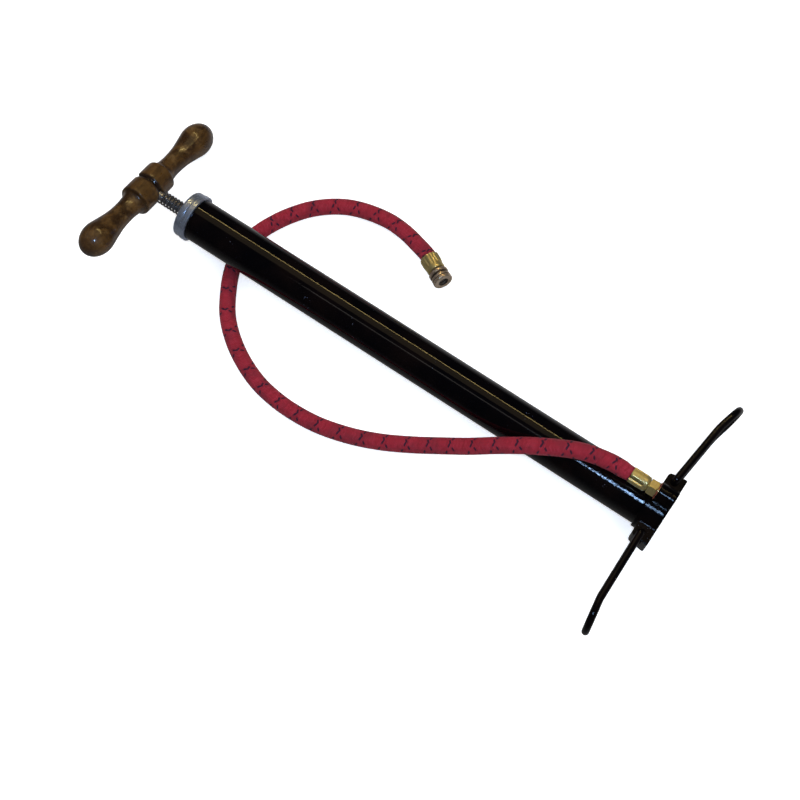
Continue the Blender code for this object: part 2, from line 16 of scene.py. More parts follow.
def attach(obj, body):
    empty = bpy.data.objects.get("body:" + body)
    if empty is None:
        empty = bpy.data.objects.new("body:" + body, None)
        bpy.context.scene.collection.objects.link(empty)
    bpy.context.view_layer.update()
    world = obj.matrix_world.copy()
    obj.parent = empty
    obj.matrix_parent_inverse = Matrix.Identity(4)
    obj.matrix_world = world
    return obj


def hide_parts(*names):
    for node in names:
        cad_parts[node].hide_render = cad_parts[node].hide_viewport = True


GAP = 0.0003  # clearance between pieces that touch or run in each other
SHARP_ANGLE = math.radians(40)  # edges sharper than this aren't shaded smooth

# The photograph's viewpoint
CAMERA_PLACE = Vector((-0.2823, 0.3596, 1.2047))
CAMERA_RIGHT = Vector((-0.8282, -0.5599, -0.0230))
CAMERA_UP = Vector((0.5232, -0.7873, 0.3261))
CAMERA_LENS = 66.96

# The pump's frame and the connector's, as in the CAD
BASE_X = -0.2675
BASE_EDGE_RADIUS = 0.0212
PROP_STATION = 0.435
CONNECTOR_MOUTH = Vector((0.0239, -0.0902, 0.0094))
CONNECTOR_HEADING = math.radians(150.3)
CONNECTOR_RISE = math.radians(8.9)

# Barrel, cap and base
BARREL_RADIUS = 0.0190
BARREL_WALL = 0.0012
BARREL_BOTTOM = 0.0086
BARREL_TOP = 0.4818
CAP_BOTTOM = 0.4738
CAP_STEP = 0.4792
CAP_TOP = 0.4852
CAP_SKIRT_RADIUS = 0.02165
CAP_RIM_RADIUS = 0.0211
VENT_RADIUS = 0.0011
BASE_HEIGHT = 0.0160
SOCKET_HEIGHT = 0.0200
SOCKET_FLOOR = 0.0070
LUG_HALF_THICKNESS = 0.0120
LUG_REACH_TOP = 0.0305
LUG_REACH_BOTTOM = 0.0325
FOOT_PIVOT_REACH = 0.0252
BOSS_Y = -0.0065
BOSS_Z = 0.0272
BOSS_RADIUS = 0.0085
BOSS_TOP = 0.0155
BOSS_BORE_RADIUS = 0.0045
BOSS_FLOOR = 0.0030
WEB_HALF_WIDTH = 0.006

# Foot loops. Piece, body, side along Y, pivot's station, kink to round end, lean, toe's twist
WIRE_RADIUS = 0.003175
FOOT_LEG = 0.0600
FOOT_KINK = math.radians(7.4)
FOOT_PIN_END = 0.0040
FEET = {
    "foot_loop_left": ("FootLoopLeft", "left_foot", 1, 0.0097, 0.0157, math.radians(0.8), math.radians(2.8)),
    "foot_loop_right": ("FootLoopRight", "right_foot", -1, 0.0085, 0.0122, math.radians(6.7), 0.0),
}

# Rod, spring and handle
ROD_RADIUS = 0.0040
ROD_BOTTOM = 0.0130
ROD_TOP = 0.5400
HANDLE_STATION = 0.5279
HANDLE_TURN = math.radians(17.0)
HANDLE_SKEW = math.radians(1.3)
HANDLE_HALF = 0.0896
COLLAR_RADIUS = 0.0144
KNOB_RADIUS = 0.0143
KNOB_PLACE = 0.0712
HANDLE_SINK_FLOOR = 0.0060
HANDLE_SINK_RADIUS = 0.0076
SPRING_MEAN_RADIUS = 0.0055
SPRING_WIRE_RADIUS = 0.0009
SPRING_TURNS = 8

# Outlet
UNION_BOTTOM = 0.0128
HEX_BOTTOM = 0.0169
HEX_TOP = 0.0244
HEX_ACROSS_FLATS = 0.0129
HEX_CORNER = math.radians(12.5)
TAIL_RADIUS = 0.0035
OUTLET_FERRULE_RADIUS = 0.0066
OUTLET_FERRULE_WALL = 0.0010
OUTLET_FERRULE_TOP = 0.0408
CHANNEL_START = 0.0052  # centre of the round end of each pressed channel, from the ferrule's foot
CHANNEL_HALF_WIDTH = 0.0022
CHANNEL_DEPTH = 0.0010
CHANNEL_LIP = 0.00022
CHANNEL_TURN = math.radians(7)

# Hose, with the CAD's route points
HOSE_RADIUS = 0.0072
HOSE_ROUTE = [
    (-0.2072, -0.0058, 0.0503),
    (-0.1866, -0.0012, 0.0511),
    (-0.1680, 0.0070, 0.0508),
    (-0.1462, 0.0176, 0.0465),
    (-0.1245, 0.0283, 0.0374),
    (-0.1030, 0.0397, 0.0272),
    (-0.0806, 0.0507, 0.0182),
    (-0.0582, 0.0620, 0.0117),
    (-0.0349, 0.0732, 0.0082),
    (-0.0102, 0.0827, 0.0073),
    (0.0165, 0.0895, 0.0073),
    (0.0412, 0.0917, 0.0073),
    (0.0631, 0.0906, 0.0073),
    (0.0839, 0.0864, 0.0073),
    (0.1053, 0.0777, 0.0073),
    (0.1248, 0.0656, 0.0073),
    (0.1411, 0.0507, 0.0073),
    (0.1541, 0.0317, 0.0073),
    (0.1632, 0.0134, 0.0073),
    (0.1674, -0.0044, 0.0073),
    (0.1669, -0.0182, 0.0073),
    (0.1637, -0.0308, 0.0073),
    (0.1582, -0.0441, 0.0073),
    (0.1504, -0.0579, 0.0073),
    (0.1397, -0.0719, 0.0073),
    (0.1263, -0.0839, 0.0073),
    (0.1108, -0.0931, 0.0073),
    (0.0928, -0.0988, 0.0073),
    (0.0736, -0.1014, 0.0073),
    (0.0559, -0.1000, 0.0075),
    (0.0395, -0.0959, 0.0081),
]
BRAID_CARRIERS = 14  # strands in each direction
BRAID_PITCHES = (0.01966, 0.01975)  # length of hose in which a strand goes round once, in each direction
BRAID_PHASES = (1.37, 5.80)  # how far each direction's tracer strand is turned, in strands

# Fittings at the hose's free end
END_FERRULE_RADIUS = 0.0088
END_FERRULE_LENGTH = 0.0156
END_FERRULE_WALL = 0.0014
END_FERRULE_CLOSED = 0.0140  # where its closed end starts
END_FLUTES = 13
END_FLUTE_DEPTH = 0.00055
END_FERRULE_TAPER = 0.0007
NECK_RADIUS = 0.0027
FLANGE_RADIUS = 0.0040
SWIVEL_START = 0.0170
SWIVEL_BACK = 0.0190
SWIVEL_END = 0.0280
SWIVEL_RADIUS = 0.0088
SWIVEL_BORE_RADIUS = 0.0043
SWIVEL_SHADED_GROOVES = ((0.0203, 0.0218), (0.0246, 0.0250))  # the stretches of the grooves darkened with painted shade

# Lights: place, (width along X, depth), radiance, colour, whether gloss shows it. All face the target.
LIGHT_TARGET = Vector((0.0, 0.0, 0.03))
LIGHTS = {
    "foot_softbox": ((-1.55, 0.05, 1.35), (1.4, 1.4), 4.2, (0.93, 0.97, 1.0), False),
    "head_softbox": ((1.65, -0.05, 1.25), (1.4, 1.4), 4.2, (0.97, 0.98, 1.0), False),
    "overhead_fill": ((0.0, 0.3, 2.4), (3.0, 3.0), 0.75, (0.95, 0.98, 1.0), False),
    "warm_panel": ((0.25, -0.47, 1.20), (1.3, 0.72), 0.36, (1.0, 0.78, 0.45), True),
    "gold_strip": ((0.25, -0.86, 1.19), (1.3, 0.026), 26.0, (1.0, 0.74, 0.27), True),
    "pale_strip": ((0.02, 0.315, 1.25), (0.75, 0.07), 1.1, (1.0, 0.93, 0.85), True),
    "flash": ((-0.27, 0.34, 1.25), (0.13, 0.13), 80.0, (0.36, 0.60, 1.0), True),
}
SKY = (0.012, 0.011, 0.013)
GROUND_GLOW = ((0.50, 0.49, 0.50), (0.15, 0.15, 0.15))  # below the horizon, on -Y and on +Y
SHADED_GLOW = (0.17, 0.165, 0.165)  # straight below, where the pump shades its sheet
FLOOR_COLOUR = (0.90, 0.90, 0.90)
FLOOR_GLOW = 0.60  # whitens what the camera sees of the sheet, without lighting the pump


# ---------------------------------------------------------------- geometry


def pump_matrix():
    """The pump's frame: it rests on its base's edge and, through the hose, on its barrel."""
    prop_height = 2 * HOSE_RADIUS + 0.0004 + BARREL_RADIUS
    climb = math.atan2(prop_height - BASE_EDGE_RADIUS, PROP_STATION)
    start = Matrix.Translation((BASE_X, 0, BASE_EDGE_RADIUS * math.cos(climb)))
    return start @ Matrix.Rotation(-climb, 4, "Y")


def connector_matrix():
    turn = Matrix.Rotation(CONNECTOR_HEADING, 4, "Z") @ Matrix.Rotation(-CONNECTOR_RISE, 4, "Y")
    return Matrix.Translation(CONNECTOR_MOUTH) @ turn


def outlet_matrix(pump):
    """The outlet's axis runs beside the barrel's."""
    return pump @ Matrix.Translation((0, BOSS_Y, BOSS_Z))


def handle_matrix(pump):
    across = Matrix.Rotation(math.pi / 2 + HANDLE_SKEW, 4, "Z")
    return pump @ Matrix.Translation((HANDLE_STATION, 0, 0)) @ Matrix.Rotation(HANDLE_TURN, 4, "X") @ across


def linked(name, data, matrix):
    """A new object in the scene."""
    obj = bpy.data.objects.new(name, data)
    bpy.context.scene.collection.objects.link(obj)
    obj.matrix_world = matrix
    return obj


def mesh_object(name, points, faces, matrix):
    """A smooth-shaded object with outward faces."""
    mesh = bpy.data.meshes.new(name)
    mesh.from_pydata(points, [], faces)
    bm = bmesh.new()
    bm.from_mesh(mesh)
    bmesh.ops.recalc_face_normals(bm, faces=bm.faces)
    bm.to_mesh(mesh)
    bm.free()
    mesh.shade_smooth()
    mesh.set_sharp_from_angle(angle=SHARP_ANGLE)
    return linked(name, mesh, matrix)


def ring_faces(first, second, closed=True):
    """Quads between two rings of vertex numbers. A ring of one is a pole."""
    count = max(len(first), len(second))
    faces = []
    for k in range(count if closed else count - 1):
        corners = []
        for ring, step in ((first, k), (first, k + 1), (second, k + 1), (second, k)):
            corner = ring[step % len(ring)]
            if corner not in corners:
                corners.append(corner)
        if len(corners) > 2:
            faces.append(corners)
    return faces


def turned(name, outline, matrix, sides=96, radius=None, first_angle=0.0):
    """A solid turned about X from (station, radius) points; an outline off the axis makes a ring.

    radius(station, r, angle), if given, says how the radius varies round the axis.
    """
    angles = [first_angle + 2 * math.pi * k / sides for k in range(sides)]
    points, rings = [], []
    for station, r in outline:
        start = len(points)
        if r == 0:
            points.append((station, 0, 0))
        else:
            for angle in angles:
                reach = radius(station, r, angle) if radius else r
                points.append((station, reach * math.cos(angle), reach * math.sin(angle)))
        rings.append(list(range(start, len(points))))
    faces = []
    for first, second in zip(rings, rings[1:]):
        faces += ring_faces(first, second)
    if outline[0][1] > 0:
        faces += ring_faces(rings[-1], rings[0])
    return mesh_object(name, points, faces, matrix)


def filleted(corners, steps=5):
    """(station, radius) points from (station, radius, rounding) corners.

    Where there is room, a point a little beyond each rounding keeps the shading of the flat part flat.
    """
    beyond, room = 1.6, 3.4  # in roundings, from the corner
    found = []
    for k, (station, radius, size) in enumerate(corners):
        here = Vector((station, radius))
        if size == 0:
            found.append((station, radius))
            continue
        before = Vector(corners[k - 1][:2]) - here
        after = Vector(corners[(k + 1) % len(corners)][:2]) - here
        start = here + before.normalized() * size
        stop = here + after.normalized() * size
        if before.length > room * size:
            found.append(tuple(here + before.normalized() * size * beyond))
        for j in range(steps + 1):
            t = j / steps
            found.append(tuple(start * (1 - t) ** 2 + here * 2 * t * (1 - t) + stop * t**2))
        if after.length > room * size:
            found.append(tuple(here + after.normalized() * size * beyond))
    return found


def ring(bottom, top, inner, outer, rounding):
    """The section of a ring or tube with rounded edges."""
    corners = [(bottom, inner), (bottom, outer), (top, outer), (top, inner)]
    return filleted([(*corner, rounding) for corner in corners])


def plug(name, bottom, top, radius, matrix, sides=64):
    """A plain round plug, to cut holes with."""
    return turned(name, [(bottom, 0), (bottom, radius), (top, radius), (top, 0)], matrix, sides)


def smooth_line(points, steps=12):
    """A Catmull-Rom curve through the points, as many short chords."""
    ends = [2 * points[0] - points[1], *points, 2 * points[-1] - points[-2]]
    line = []
    for before, start, stop, after in zip(ends, ends[1:], ends[2:], ends[3:]):
        for k in range(steps):
            t = k / steps
            line.append(
                start
                + 0.5 * t * (stop - before)
                + t * t * (before - 2.5 * start + 2 * stop - 0.5 * after)
                + t * t * t * (1.5 * (start - stop) + 0.5 * (after - before))
            )
    line.append(points[-1])
    return line


def lengths_along(line):
    steps = [(b - a).length for a, b in zip(line, line[1:])]
    return [0.0, *np.cumsum(steps).tolist()]


def spaced(line, spacing):
    """Points at an even spacing along a line, ends included."""
    lengths = lengths_along(line)
    count = round(lengths[-1] / spacing)
    steps = np.interp(np.linspace(0, lengths[-1], count + 1), lengths, np.arange(len(line)))
    found = []
    for step in steps:
        k = min(int(step), len(line) - 2)
        found.append(line[k].lerp(line[k + 1], step - k))
    return found


def cross_sections(line):
    """Two directions square to the line at each of its points, carried along it without twist."""
    tangents = []
    for k in range(len(line)):
        tangents.append((line[min(k + 1, len(line) - 1)] - line[max(k - 1, 0)]).normalized())
    side = tangents[0].orthogonal().normalized()
    sections = []
    for tangent in tangents:
        side = (side - tangent * side.dot(tangent)).normalized()
        sections.append((side, tangent.cross(side)))
    return sections


def tube(name, line, radius, sides, matrix):
    """A closed tube along a line. radius(share of a turn, length along) shapes it; its UVs are those two."""
    lengths = lengths_along(line)
    points, rings = [], []
    for point, (side, other), along in zip(line, cross_sections(line), lengths):
        start = len(points)
        for k in range(sides):
            angle = 2 * math.pi * k / sides
            reach = radius(k / sides, along)
            points.append(point + side * (reach * math.cos(angle)) + other * (reach * math.sin(angle)))
        rings.append(list(range(start, len(points))))
    faces = []
    for first, second in zip(rings, rings[1:]):
        faces += ring_faces(first, second)
    for point, edge in ((line[0], rings[0]), (line[-1], rings[-1])):
        points.append(point)
        faces += ring_faces([len(points) - 1], edge)
    obj = mesh_object(name, points, faces, matrix)
    layer = obj.data.uv_layers.new(name="along")
    for polygon in obj.data.polygons:
        loops = list(polygon.loop_indices)
        steps = [obj.data.loops[loop].vertex_index % sides for loop in loops]
        wraps = 0 in steps and sides - 1 in steps
        for loop, step in zip(loops, steps):
            row = min(obj.data.loops[loop].vertex_index // sides, len(line) - 1)
            layer.data[loop].uv = ((sides if wraps and step == 0 else step) / sides, lengths[row])
    return obj


def combined(obj, joined=(), cut=()):
    """Joins and cuts helper solids, applies that and removes the helpers."""
    for operation, helpers in (("UNION", joined), ("DIFFERENCE", cut)):
        for helper in helpers:
            modifier = obj.modifiers.new(helper.name, "BOOLEAN")
            modifier.operation = operation
            modifier.solver = "MANIFOLD"
            modifier.object = helper
    return applied(obj, (*joined, *cut))


def applied(obj, helpers=()):
    """Makes the modified shape the object's own mesh and removes the helpers."""
    bpy.context.view_layer.update()
    graph = bpy.context.evaluated_depsgraph_get()
    mesh = bpy.data.meshes.new_from_object(obj.evaluated_get(graph))
    obj.modifiers.clear()
    obj.data = mesh
    for helper in helpers:
        bpy.data.objects.remove(helper)
    mesh.shade_smooth()
    mesh.set_sharp_from_angle(angle=SHARP_ANGLE)
    return obj


def hexagon(across_flats, corner):
    """The radius, at an angle, of a hexagon with one corner at the given angle."""

    def reach(angle):
        turn = (angle - corner) % (math.pi / 3) - math.pi / 6
        return across_flats / 2 / math.cos(turn)

    return reach


def bump_between(value, low, high, soft):
    """1 between low and high, easing to 0 over soft on either side."""
    rise = min(max((value - low) / soft + 0.5, 0.0), 1.0)
    fall = min(max((high - value) / soft + 0.5, 0.0), 1.0)
    return rise * rise * (3 - 2 * rise) * fall * fall * (3 - 2 * fall)


# ---------------------------------------------------------------- materials


class Look:
    """One procedural material, built node by node on a Principled shader."""

    def __init__(self, name, **constants):
        self.material = bpy.data.materials.new(name)
        self.material.use_nodes = True
        self.tree = self.material.node_tree
        self.shader = self.tree.nodes["Principled BSDF"]
        for socket, value in constants.items():
            self.shader.inputs[socket.replace("_", " ")].default_value = value
        self.place = self.add("TexCoord").outputs["Object"]

    def add(self, kind, inputs=(), **settings):
        node = self.tree.nodes.new("ShaderNode" + kind)
        for key, value in settings.items():
            setattr(node, key, value)
        for key, value in dict(inputs).items():
            if isinstance(value, bpy.types.NodeSocket):
                self.tree.links.new(value, node.inputs[key])
            else:
                node.inputs[key].default_value = value
        return node

    def scaled(self, x, y, z):
        return self.add("Mapping", {"Vector": self.place, "Scale": (x, y, z)}).outputs[0]

    def noise(self, scale, detail=3.0, roughness=0.55, place=None, distortion=0.0):
        inputs = {"Vector": place or self.place, "Scale": scale, "Detail": detail}
        inputs.update({"Roughness": roughness, "Distortion": distortion})
        return self.add("TexNoise", inputs).outputs["Fac"]

    def cells(self, scale):
        return self.add("TexVoronoi", {"Vector": self.place, "Scale": scale}).outputs["Distance"]

    def maths(self, operation, first, second=0.0, third=0.0):
        return self.add("Math", {0: first, 1: second, 2: third}, operation=operation).outputs[0]

    def plus(self, first, second):
        return self.maths("ADD", first, second)

    def times(self, first, second):
        return self.maths("MULTIPLY", first, second)

    def from_axis(self, vector=None):
        """How far a point is from the X axis."""
        _, y, z = self.axes(vector)
        squares = self.plus(self.maths("POWER", y, 2.0), self.maths("POWER", z, 2.0))
        return self.maths("SQRT", squares)

    def between(self, value, low, high, new_low=0.0, new_high=1.0):
        """A smooth change from new_low to new_high as the value goes from low to high."""
        inputs = {"Value": value, "From Min": low, "From Max": high, "To Min": new_low, "To Max": new_high}
        return self.add("MapRange", inputs, interpolation_type="SMOOTHSTEP").outputs["Result"]

    def ramp(self, value, *stops):
        node = self.add("ValToRGB", {"Fac": value})
        elements = node.color_ramp.elements
        while len(elements) < len(stops):
            elements.new(1.0)
        for element, (position, colour) in zip(elements, stops):
            element.position = position
            element.color = (*colour, 1.0)
        return node.outputs["Color"]

    def mix(self, share, first, second):
        """first where share is 0, second where it is 1."""
        inputs = {0: share}
        for socket, colour in ((6, first), (7, second)):
            inputs[socket] = colour if isinstance(colour, bpy.types.NodeSocket) else (*colour, 1.0)
        return self.add("Mix", inputs, data_type="RGBA").outputs[2]

    def axes(self, vector=None):
        return self.add("SeparateXYZ", {0: vector or self.place}).outputs

    def finish(self, colour, roughness, height, depth):
        """Colour and roughness sockets, and a height socket whose full range is depth metres."""
        self.tree.links.new(colour, self.shader.inputs["Base Color"])
        self.tree.links.new(roughness, self.shader.inputs["Roughness"])
        bump = self.add("Bump", {"Height": height, "Strength": 1.0, "Distance": depth})
        self.tree.links.new(bump.outputs[0], self.shader.inputs["Normal"])
        return self.material


def enamel(name, grain, depth, dust_and_glint, gloss, index):
    """Gloss black stoving enamel with orange peel, fine rubbed marks and bluish specks, partly dust and
    partly a painted highlight standing in for the flash's glints.

    grain and depth are the peel's, and gloss and index say how strongly the surface mirrors.
    """
    look = Look(name, Specular_IOR_Level=gloss, IOR=index)
    tone = look.between(look.noise(35, 4), 0.35, 0.7)
    colour = look.mix(tone, (0.0009, 0.0008, 0.0012), (0.0030, 0.0018, 0.0018))
    rubbed = look.noise(1, 5, 0.7, look.scaled(60, 900, 900))
    # Bluish specks: partly dust, partly painted highlight copying the flash's small glints.
    dust_and_glint_specks = look.maths("LESS_THAN", look.cells(520), look.between(look.noise(60, 2), 0.55, 0.75, 0.0, dust_and_glint))
    colour = look.mix(dust_and_glint_specks, colour, (0.09, 0.11, 0.17))
    roughness = look.plus(look.between(rubbed, 0.35, 0.75, 0.05, 0.12), look.times(dust_and_glint_specks, 0.35))
    peel = look.plus(look.noise(grain, 3), look.times(dust_and_glint_specks, 0.5))
    near_base = look.between(look.axes()[0], 0.03, 0.16, 3.8, 0.5)  # the coat is thicker and coarser there
    return look.finish(colour, roughness, look.times(peel, near_base), depth)


def wood(name):
    """Turned hardwood under gloss varnish, mottled by wear, with painted shade in the groove and the necks,
    and darker towards the ends.
    """
    look = Look(name, Coat_Weight=0.8, Coat_Roughness=0.14, Specular_IOR_Level=0.18)
    heart = {"Location": (0, 0.011, 0.019), "Scale": (0.22, 1, 1)}  # the growth rings' middle is off the axis
    warped = look.add("Mapping", {"Vector": look.place, **heart}).outputs[0]
    wander = look.noise(22, 3, 0.5, warped)
    rings = look.maths("FRACT", look.plus(look.times(look.from_axis(warped), 330.0), look.times(wander, 5.0)))
    pores = look.noise(1, 5, 0.65, look.scaled(90, 1500, 1500))
    grain = look.noise(1, 4, 0.6, look.scaled(18, 320, 320))
    value = look.plus(look.times(rings, 0.12), look.times(grain, 0.40))
    value = look.plus(value, look.times(look.noise(110, 5, 0.65), 0.48))
    colour = look.ramp(
        value,
        (0.20, (0.020, 0.009, 0.004)),
        (0.45, (0.058, 0.028, 0.008)),
        (0.65, (0.092, 0.046, 0.013)),
        (0.90, (0.135, 0.072, 0.023)),
    )
    dark_patches = look.between(look.noise(48, 6, 0.72, distortion=0.6), 0.46, 0.62, 0.0, 0.8)
    colour = look.mix(dark_patches, colour, (0.016, 0.007, 0.003))
    worn_patches = look.between(look.noise(75, 5, 0.7), 0.52, 0.72, 0.0, 0.55)
    colour = look.mix(worn_patches, colour, (0.165, 0.095, 0.036))
    colour = look.mix(look.between(pores, 0.60, 0.72, 0.0, 0.75), colour, (0.012, 0.006, 0.003))

    from_middle = look.maths("ABSOLUTE", look.axes()[0])
    # Painted shade: darker in the middle groove and in the necks beside the collars, where shade falls.
    groove = look.between(from_middle, 0.0012, 0.0042, 0.92, 0.0)
    past_collar = look.between(from_middle, 0.0178, 0.0196)
    neck = look.times(past_collar, look.between(from_middle, 0.0205, 0.026, 0.5, 0.0))
    colour = look.mix(look.maths("MAXIMUM", groove, neck), colour, (0.006, 0.003, 0.002))
    # Darker towards the handle's two ends.
    ends = look.between(from_middle, 0.078, HANDLE_HALF, 0.0, 0.6)
    colour = look.mix(ends, colour, (0.035, 0.018, 0.009))

    roughness = look.between(look.noise(140, 3), 0.3, 0.7, 0.26, 0.46)
    fibres = look.noise(1, 3, 0.6, look.scaled(40, 700, 700))
    height = look.maths("SUBTRACT", fibres, look.between(pores, 0.58, 0.72))
    return look.finish(colour, roughness, height, 0.00012)


def braid(name):
    """Crimson cotton braided over the hose: strands in a twill, with one dark tracer in each direction and
    painted shade between the strands.
    """
    look = Look(name, Sheen_Weight=0.05, Sheen_Roughness=0.4, Specular_IOR_Level=0.25)
    around, along, _ = look.axes(look.add("UVMap", uv_map="along").outputs[0])
    turn = look.times(around, BRAID_CARRIERS)
    climbs = [look.times(along, BRAID_CARRIERS / pitch) for pitch in BRAID_PITCHES]
    families = [look.plus(climbs[0], turn), look.maths("SUBTRACT", climbs[1], turn)]
    families = [look.plus(family, phase) for family, phase in zip(families, BRAID_PHASES)]
    numbers = [look.maths("FLOOR", family) for family in families]

    # Each strand goes over two of the other direction's, then under two
    step = look.plus(look.maths("SUBTRACT", *numbers), 2.0)
    second_on_top = look.maths("GREATER_THAN", look.maths("FLOORED_MODULO", step, 4.0), 1.5)

    def on_top(first, second):
        return look.maths("MULTIPLY_ADD", second_on_top, look.maths("SUBTRACT", second, first), first)

    def traced(family):
        """1 on the tracer, which is strand 0 of its direction and a little wider than the rest."""
        half = BRAID_CARRIERS / 2
        strand = look.maths("FLOORED_MODULO", look.plus(family, half - 0.5), float(BRAID_CARRIERS))
        return look.maths("COMPARE", strand, half, 0.68)

    number = on_top(*numbers)
    across = on_top(*[look.maths("FRACT", family) for family in families])
    tracer = on_top(*[traced(family) for family in families])
    dome = look.maths("SINE", look.times(across, math.pi))
    own_place = look.add("CombineXYZ", {0: look.times(number, 3.7), 1: climbs[0]}).outputs[0]
    colour = look.ramp(
        look.noise(0.35, 2, 0.5, own_place),
        (0.25, (0.205, 0.008, 0.017)),
        (0.5, (0.285, 0.014, 0.028)),
        (0.75, (0.350, 0.023, 0.042)),
    )
    fuzz = look.noise(2600, 3, 0.7)
    colour = look.mix(look.between(fuzz, 0.5, 0.8, 0.0, 0.20), colour, (0.42, 0.08, 0.11))
    # Painted shade: darker where each strand's dome falls away between the strands.
    colour = look.mix(look.between(dome, 0.0, 0.7, 0.55, 0.0), colour, (0.085, 0.006, 0.014))
    grime = look.between(look.noise(75, 4), 0.42, 0.70, 0.0, 0.48)
    colour = look.mix(grime, colour, (0.12, 0.014, 0.024))
    colour = look.mix(look.times(tracer, 0.92), colour, (0.012, 0.005, 0.018))
    height = look.plus(dome, look.times(fuzz, 0.5))
    return look.finish(colour, look.between(fuzz, 0.3, 0.7, 0.64, 0.86), height, 0.00020)


def metal(name, dark, light, tarnish, roughness, dirt=0.35, lines=(2600, 40, 40), bore=0.0, shaded_grooves=()):
    """Turned or plated metal: two tones, tarnish in patches and tool marks.

    dirt is the tarnish's strength, lines scales the tool marks along each axis, and bore (a radius) and
    shaded_grooves (stretches along X) say where painted shade darkens it.
    """
    look = Look(name, Metallic=0.86)
    marks = look.noise(1, 3, 0.6, look.scaled(*lines))
    patches = look.between(look.noise(210, 3, 0.5), 0.42, 0.75)
    colour = look.mix(look.between(marks, 0.3, 0.7), dark, light)
    colour = look.mix(look.times(patches, dirt), colour, tarnish)
    # Painted shade: the colour darkens inside the bore's radius.
    if bore:
        inside = look.between(look.from_axis(), bore, bore * 1.1, 0.94, 0.0)
        colour = look.mix(inside, colour, (0.020, 0.026, 0.028))
    # Painted shade in the grooves.
    for low, high in shaded_grooves:
        along, edge = look.axes()[0], 0.0003
        past_low = look.between(along, low - edge, low)
        inside = look.times(past_low, look.between(along, high, high + edge, 1.0, 0.0))
        colour = look.mix(look.times(inside, 0.85), colour, (0.035, 0.025, 0.018))
    value = look.plus(look.between(marks, 0.2, 0.8, *roughness), look.times(patches, 0.4 * dirt))
    height = look.plus(marks, look.times(look.noise(900, 3), 0.6))
    return look.finish(colour, value, height, 0.000002)


def hide(name, dark, light, grain, roughness, depth):
    """Leather, fibre or rubber: a mottled colour over a fine grain."""
    look = Look(name, Specular_IOR_Level=0.35)
    colour = look.mix(look.between(look.noise(260, 5, 0.65), 0.3, 0.7), dark, light)
    pores = look.cells(grain)
    colour = look.mix(look.between(pores, 0.0, 0.35, 0.5, 0.0), colour, tuple(0.4 * c for c in dark))
    value = look.between(look.noise(600, 3), 0.3, 0.7, *roughness)
    return look.finish(colour, value, pores, depth)


def make_looks():
    """Materials by name. A row holds a maker and the values that it takes, in order."""
    makers = {
        "black_enamel": (enamel, 420, 0.00004, 0.14, 0.34, 1.5),
        "cast_base": (enamel, 520, 0.00003, 0.22, 0.22, 1.36),
        "varnished_wood": (wood,),
        "braided_hose": (braid,),
        "brass": (metal, (0.66, 0.52, 0.20), (0.80, 0.65, 0.29), (0.22, 0.15, 0.05), (0.30, 0.34), 0.12),
        "worn_brass": (metal, (0.58, 0.44, 0.30), (0.76, 0.58, 0.43), (0.18, 0.11, 0.08), (0.22, 0.32)),
        "plated_steel": (metal, (0.42, 0.47, 0.58), (0.54, 0.60, 0.72), (0.14, 0.15, 0.20), (0.24, 0.34)),
        "rod_steel": (metal, (0.42, 0.42, 0.44), (0.60, 0.60, 0.62), (0.14, 0.12, 0.11), (0.18, 0.30)),
        "spring_steel": (metal, (0.17, 0.155, 0.15), (0.27, 0.25, 0.24), (0.08, 0.06, 0.06), (0.20, 0.34)),
        "leather": (hide, (0.10, 0.048, 0.020), (0.20, 0.105, 0.048), 1500, (0.55, 0.75), 0.00012),
        "fibre": (hide, (0.13, 0.030, 0.014), (0.26, 0.075, 0.036), 2400, (0.5, 0.7), 0.00005),
        "black_rubber": (hide, (0.010, 0.010, 0.011), (0.022, 0.022, 0.024), 1800, (0.6, 0.8), 0.00005),
    }
    extra = {
        "worn_brass": {"bore": SWIVEL_BORE_RADIUS, "shaded_grooves": SWIVEL_SHADED_GROOVES},
        "spring_steel": {"lines": (900, 900, 900)},
    }
    return {name: make(name, *values, **extra.get(name, {})) for name, (make, *values) in makers.items()}


# ---------------------------------------------------------------- pieces


def place(obj, body, look, looks, *nodes, slot=None):
    """Gives a piece its material, its body and the CAD nodes that it stands for. slot is not used."""
    obj.data.materials.clear()
    obj.data.materials.append(looks[look])
    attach(obj, body)
    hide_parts(*nodes)
    return obj


def make_camera():
    back = CAMERA_RIGHT.cross(CAMERA_UP).normalized()
    turn = Matrix((CAMERA_RIGHT.normalized(), CAMERA_UP.normalized(), back)).transposed().to_4x4()
    data = bpy.data.cameras.new("camera")
    data.lens = CAMERA_LENS
    bpy.context.scene.camera = linked("camera", data, Matrix.Translation(CAMERA_PLACE) @ turn)


def make_hose(pump, connector):
    """The hose from the outlet ferrule, over the barrel, down to the ground, under the barrel and round."""
    outlet = outlet_matrix(pump)
    straight = 0.004  # how far it runs on straight from each ferrule
    exit_point = outlet @ Vector((OUTLET_FERRULE_TOP + GAP, 0, 0))
    route = [exit_point, outlet @ Vector((OUTLET_FERRULE_TOP + straight, 0, 0))]
    route += [Vector(point) for point in HOSE_ROUTE]
    route += [connector @ Vector((-straight, 0, 0)), connector @ Vector((-GAP, 0, 0))]
    line = spaced(smooth_line(route), 0.001)

    def radius(around, along):
        """Squeezed at the outlet ferrule, and faintly uneven."""
        squeezed = 0.0008 * bump_between(along, -1.0, 0.005, 0.008)
        wave = 0.00004 * math.sin(2 * math.pi * along / 0.0031 + 9 * around)
        return HOSE_RADIUS - squeezed + wave * math.sin(2 * math.pi * (3 * around + along / 0.007))

    return tube("Hose", line, radius, 80, Matrix.Identity(4)), exit_point, lengths_along(line)[-1], line


